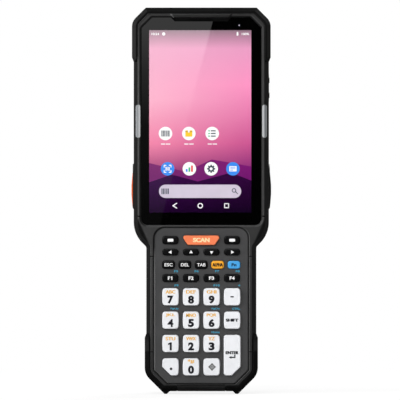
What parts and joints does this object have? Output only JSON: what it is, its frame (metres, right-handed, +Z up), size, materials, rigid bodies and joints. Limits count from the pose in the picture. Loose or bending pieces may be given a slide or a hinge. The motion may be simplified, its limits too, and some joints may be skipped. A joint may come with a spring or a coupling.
{
  "type": "portable barcode data terminal",
  "caption": "Handheld scanning terminal: touch window head, waisted keypad grip, swing-out battery, side triggers, rubber bumpers.",
  "frame": {"origin": "middle of the overall width and depth, on the plane under the two feet", "axes": "+Z up through the head, -Y out of the screen and keypad, +X to the right as the screen is read"},
  "size_m": [0.0796, 0.034, 0.22],
  "materials": {
    "housing_plastic": "fine spark-eroded texture, satin",
    "bezel_plastic": "fine texture, satin",
    "bumper_rubber": "matt overmoulded rubber",
    "cover_rubber": "matt rubber",
    "silicone_mat": "matt silicone",
    "circuit_board": "solder mask",
    "spring_steel": "bright stamped steel",
    "black_glass": "polished cover glass, backed in black",
    "display_panel": "display module",
    "cast_magnesium": "cast, blasted",
    "shield_can": "tinned sheet",
    "module_plastic": "moulded module housing",
    "red_window": "dark red polished window",
    "control_black": "satin",
    "trigger_orange": "satin",
    "light_pipe": "clear bar, frosted at the back",
    "battery_plastic": "coarse texture, matt",
    "latch_plastic": "satin",
    "gold_contact": "gold plated",
    "camera_glass": "polished",
    "screw_steel": "black zinc plated",
    "brass_insert": "knurled brass",
    "key_white": "hard-coated, satin",
    "key_dark": "hard-coated, satin",
    "key_scan_orange": "hard-coated, satin",
    "key_amber": "hard-coated, satin",
    "key_blue": "hard-coated, satin"
  },
  "bodies": {
    "frame": {"front_housing": "housing_plastic", "rear_housing": "housing_plastic", "head_bumper": "bumper_rubber", "base_bumper": "bumper_rubber", "keypad_bezel": "bezel_plastic", "keypad_mat": "silicone_mat", "keypad_board": "circuit_board", "key_switches": "spring_steel", "touch_window": "black_glass", "display_module": "display_panel", "chassis": "cast_magnesium", "main_board": "circuit_board", "board_components": "shield_can", "scan_engine": "module_plastic", "scan_window": "red_window", "light_pipes": "light_pipe", "contact_pins": "gold_contact", "rear_camera": "module_plastic", "camera_window": "camera_glass", "speakers": "module_plastic", "usb_socket": "spring_steel", "housing_screws": "screw_steel", "strap_inserts": "brass_insert"},
    "base_cover": {"port_cover": "cover_rubber"},
    "battery": {"battery_pack": "battery_plastic"},
    "battery_latch": {"battery_latch": "latch_plastic"},
    "trigger_left": {"left_trigger": "trigger_orange"},
    "trigger_right": {"right_trigger": "control_black"},
    "volume": {"volume_rocker": "control_black"},
    "cap_scan": {"key_scan": "key_scan_orange"},
    "cap_left_soft": {"key_left_soft": "key_dark"},
    "cap_right_soft": {"key_right_soft": "key_dark"},
    "cap_arrow_left": {"key_arrow_left": "key_dark"},
    "cap_arrow_up": {"key_arrow_up": "key_dark"},
    "cap_arrow_down": {"key_arrow_down": "key_dark"},
    "cap_arrow_right": {"key_arrow_right": "key_dark"},
    "cap_escape": {"key_escape": "key_dark"},
    "cap_delete": {"key_delete": "key_dark"},
    "cap_tab": {"key_tab": "key_dark"},
    "cap_alpha": {"key_alpha": "key_amber"},
    "cap_function": {"key_function": "key_blue"},
    "cap_f1": {"key_f1": "key_dark"},
    "cap_f2": {"key_f2": "key_dark"},
    "cap_f3": {"key_f3": "key_dark"},
    "cap_f4": {"key_f4": "key_dark"},
    "cap_7": {"key_7": "key_white"},
    "cap_8": {"key_8": "key_white"},
    "cap_9": {"key_9": "key_white"},
    "cap_minus": {"key_minus": "key_white"},
    "cap_4": {"key_4": "key_white"},
    "cap_5": {"key_5": "key_white"},
    "cap_6": {"key_6": "key_white"},
    "cap_shift": {"key_shift": "key_white"},
    "cap_1": {"key_1": "key_white"},
    "cap_2": {"key_2": "key_white"},
    "cap_3": {"key_3": "key_white"},
    "cap_enter": {"key_enter": "key_white"},
    "cap_point": {"key_point": "key_white"},
    "cap_0": {"key_0": "key_white"},
    "cap_diamond": {"key_diamond": "key_white"}
  },
  "joints": [
    {"name": "base_cover_swing", "type": "hinge", "parent": "frame", "child": "base_cover", "pos_m": [0, -0.0162, 0.004], "axis": [-1, 0, 0], "range_deg": [0, 160]},
    {"name": "battery_latch_slide", "type": "slide", "parent": "frame", "child": "battery_latch", "axis": [0, 0, 1], "range_m": [0, 0.003], "stiffness_N_per_m": 300, "springref_m": -0.001},
    {"name": "battery_swing_out", "type": "hinge", "parent": "frame", "child": "battery", "pos_m": [0, 0.0046, 0.0104], "axis": [-1, 0, 0], "range_deg": [0, 35]},
    {"name": "control_trigger_left_press", "type": "slide", "parent": "frame", "child": "trigger_left", "axis": [1, 0, 0], "range_m": [0, 0.001], "stiffness_N_per_m": 1500, "springref_m": -0.0005},
    {"name": "control_trigger_right_press", "type": "slide", "parent": "frame", "child": "trigger_right", "axis": [-1, 0, 0], "range_m": [0, 0.001], "stiffness_N_per_m": 1500, "springref_m": -0.0005},
    {"name": "control_volume_rock", "type": "hinge", "parent": "frame", "child": "volume", "pos_m": [0.0334, -0.0065, 0.1745], "axis": [0, 1, 0], "range_deg": [-2.5, 2.5], "stiffness_Nm_per_rad": 0.08},
    {"name": "key_scan_press", "type": "slide", "parent": "frame", "child": "cap_scan", "axis": [0, 1, 0], "range_m": [0, 0.0007], "stiffness_N_per_m": 800, "springref_m": -0.0004},
    {"name": "key_left_soft_press", "type": "slide", "parent": "frame", "child": "cap_left_soft", "axis": [0, 1, 0], "range_m": [0, 0.0007], "stiffness_N_per_m": 700, "springref_m": -0.0004},
    {"name": "key_right_soft_press", "type": "slide", "parent": "frame", "child": "cap_right_soft", "axis": [0, 1, 0], "range_m": [0, 0.0007], "stiffness_N_per_m": 700, "springref_m": -0.0004},
    {"name": "key_arrow_left_press", "type": "slide", "parent": "frame", "child": "cap_arrow_left", "axis": [0, 1, 0], "range_m": [0, 0.0007], "stiffness_N_per_m": 700, "springref_m": -0.0004},
    {"name": "key_arrow_up_press", "type": "slide", "parent": "frame", "child": "cap_arrow_up", "axis": [0, 1, 0], "range_m": [0, 0.0007], "stiffness_N_per_m": 700, "springref_m": -0.0004},
    {"name": "key_arrow_down_press", "type": "slide", "parent": "frame", "child": "cap_arrow_down", "axis": [0, 1, 0], "range_m": [0, 0.0007], "stiffness_N_per_m": 700, "springref_m": -0.0004},
    {"name": "key_arrow_right_press", "type": "slide", "parent": "frame", "child": "cap_arrow_right", "axis": [0, 1, 0], "range_m": [0, 0.0007], "stiffness_N_per_m": 700, "springref_m": -0.0004},
    {"name": "key_escape_press", "type": "slide", "parent": "frame", "child": "cap_escape", "axis": [0, 1, 0], "range_m": [0, 0.0007], "stiffness_N_per_m": 700, "springref_m": -0.0004},
    {"name": "key_delete_press", "type": "slide", "parent": "frame", "child": "cap_delete", "axis": [0, 1, 0], "range_m": [0, 0.0007], "stiffness_N_per_m": 700, "springref_m": -0.0004},
    {"name": "key_tab_press", "type": "slide", "parent": "frame", "child": "cap_tab", "axis": [0, 1, 0], "range_m": [0, 0.0007], "stiffness_N_per_m": 700, "springref_m": -0.0004},
    {"name": "key_alpha_press", "type": "slide", "parent": "frame", "child": "cap_alpha", "axis": [0, 1, 0], "range_m": [0, 0.0007], "stiffness_N_per_m": 700, "springref_m": -0.0004},
    {"name": "key_function_press", "type": "slide", "parent": "frame", "child": "cap_function", "axis": [0, 1, 0], "range_m": [0, 0.0007], "stiffness_N_per_m": 700, "springref_m": -0.0004},
    {"name": "key_f1_press", "type": "slide", "parent": "frame", "child": "cap_f1", "axis": [0, 1, 0], "range_m": [0, 0.0007], "stiffness_N_per_m": 700, "springref_m": -0.0004},
    {"name": "key_f2_press", "type": "slide", "parent": "frame", "child": "cap_f2", "axis": [0, 1, 0], "range_m": [0, 0.0007], "stiffness_N_per_m": 700, "springref_m": -0.0004},
    {"name": "key_f3_press", "type": "slide", "parent": "frame", "child": "cap_f3", "axis": [0, 1, 0], "range_m": [0, 0.0007], "stiffness_N_per_m": 700, "springref_m": -0.0004},
    {"name": "key_f4_press", "type": "slide", "parent": "frame", "child": "cap_f4", "axis": [0, 1, 0], "range_m": [0, 0.0007], "stiffness_N_per_m": 700, "springref_m": -0.0004},
    {"name": "key_7_press", "type": "slide", "parent": "frame", "child": "cap_7", "axis": [0, 1, 0], "range_m": [0, 0.0007], "stiffness_N_per_m": 800, "springref_m": -0.0004},
    {"name": "key_8_press", "type": "slide", "parent": "frame", "child": "cap_8", "axis": [0, 1, 0], "range_m": [0, 0.0007], "stiffness_N_per_m": 800, "springref_m": -0.0004},
    {"name": "key_9_press", "type": "slide", "parent": "frame", "child": "cap_9", "axis": [0, 1, 0], "range_m": [0, 0.0007], "stiffness_N_per_m": 800, "springref_m": -0.0004},
    {"name": "key_minus_press", "type": "slide", "parent": "frame", "child": "cap_minus", "axis": [0, 1, 0], "range_m": [0, 0.0007], "stiffness_N_per_m": 800, "springref_m": -0.0004},
    {"name": "key_4_press", "type": "slide", "parent": "frame", "child": "cap_4", "axis": [0, 1, 0], "range_m": [0, 0.0007], "stiffness_N_per_m": 800, "springref_m": -0.0004},
    {"name": "key_5_press", "type": "slide", "parent": "frame", "child": "cap_5", "axis": [0, 1, 0], "range_m": [0, 0.0007], "stiffness_N_per_m": 800, "springref_m": -0.0004},
    {"name": "key_6_press", "type": "slide", "parent": "frame", "child": "cap_6", "axis": [0, 1, 0], "range_m": [0, 0.0007], "stiffness_N_per_m": 800, "springref_m": -0.0004},
    {"name": "key_shift_press", "type": "slide", "parent": "frame", "child": "cap_shift", "axis": [0, 1, 0], "range_m": [0, 0.0007], "stiffness_N_per_m": 800, "springref_m": -0.0004},
    {"name": "key_1_press", "type": "slide", "parent": "frame", "child": "cap_1", "axis": [0, 1, 0], "range_m": [0, 0.0007], "stiffness_N_per_m": 800, "springref_m": -0.0004},
    {"name": "key_2_press", "type": "slide", "parent": "frame", "child": "cap_2", "axis": [0, 1, 0], "range_m": [0, 0.0007], "stiffness_N_per_m": 800, "springref_m": -0.0004},
    {"name": "key_3_press", "type": "slide", "parent": "frame", "child": "cap_3", "axis": [0, 1, 0], "range_m": [0, 0.0007], "stiffness_N_per_m": 800, "springref_m": -0.0004},
    {"name": "key_enter_press", "type": "slide", "parent": "frame", "child": "cap_enter", "axis": [0, 1, 0], "range_m": [0, 0.0007], "stiffness_N_per_m": 800, "springref_m": -0.0004},
    {"name": "key_point_press", "type": "slide", "parent": "frame", "child": "cap_point", "axis": [0, 1, 0], "range_m": [0, 0.0007], "stiffness_N_per_m": 800, "springref_m": -0.0004},
    {"name": "key_0_press", "type": "slide", "parent": "frame", "child": "cap_0", "axis": [0, 1, 0], "range_m": [0, 0.0007], "stiffness_N_per_m": 800, "springref_m": -0.0004},
    {"name": "key_diamond_press", "type": "slide", "parent": "frame", "child": "cap_diamond", "axis": [0, 1, 0], "range_m": [0, 0.0007], "stiffness_N_per_m": 800, "springref_m": -0.0004}
  ]
}
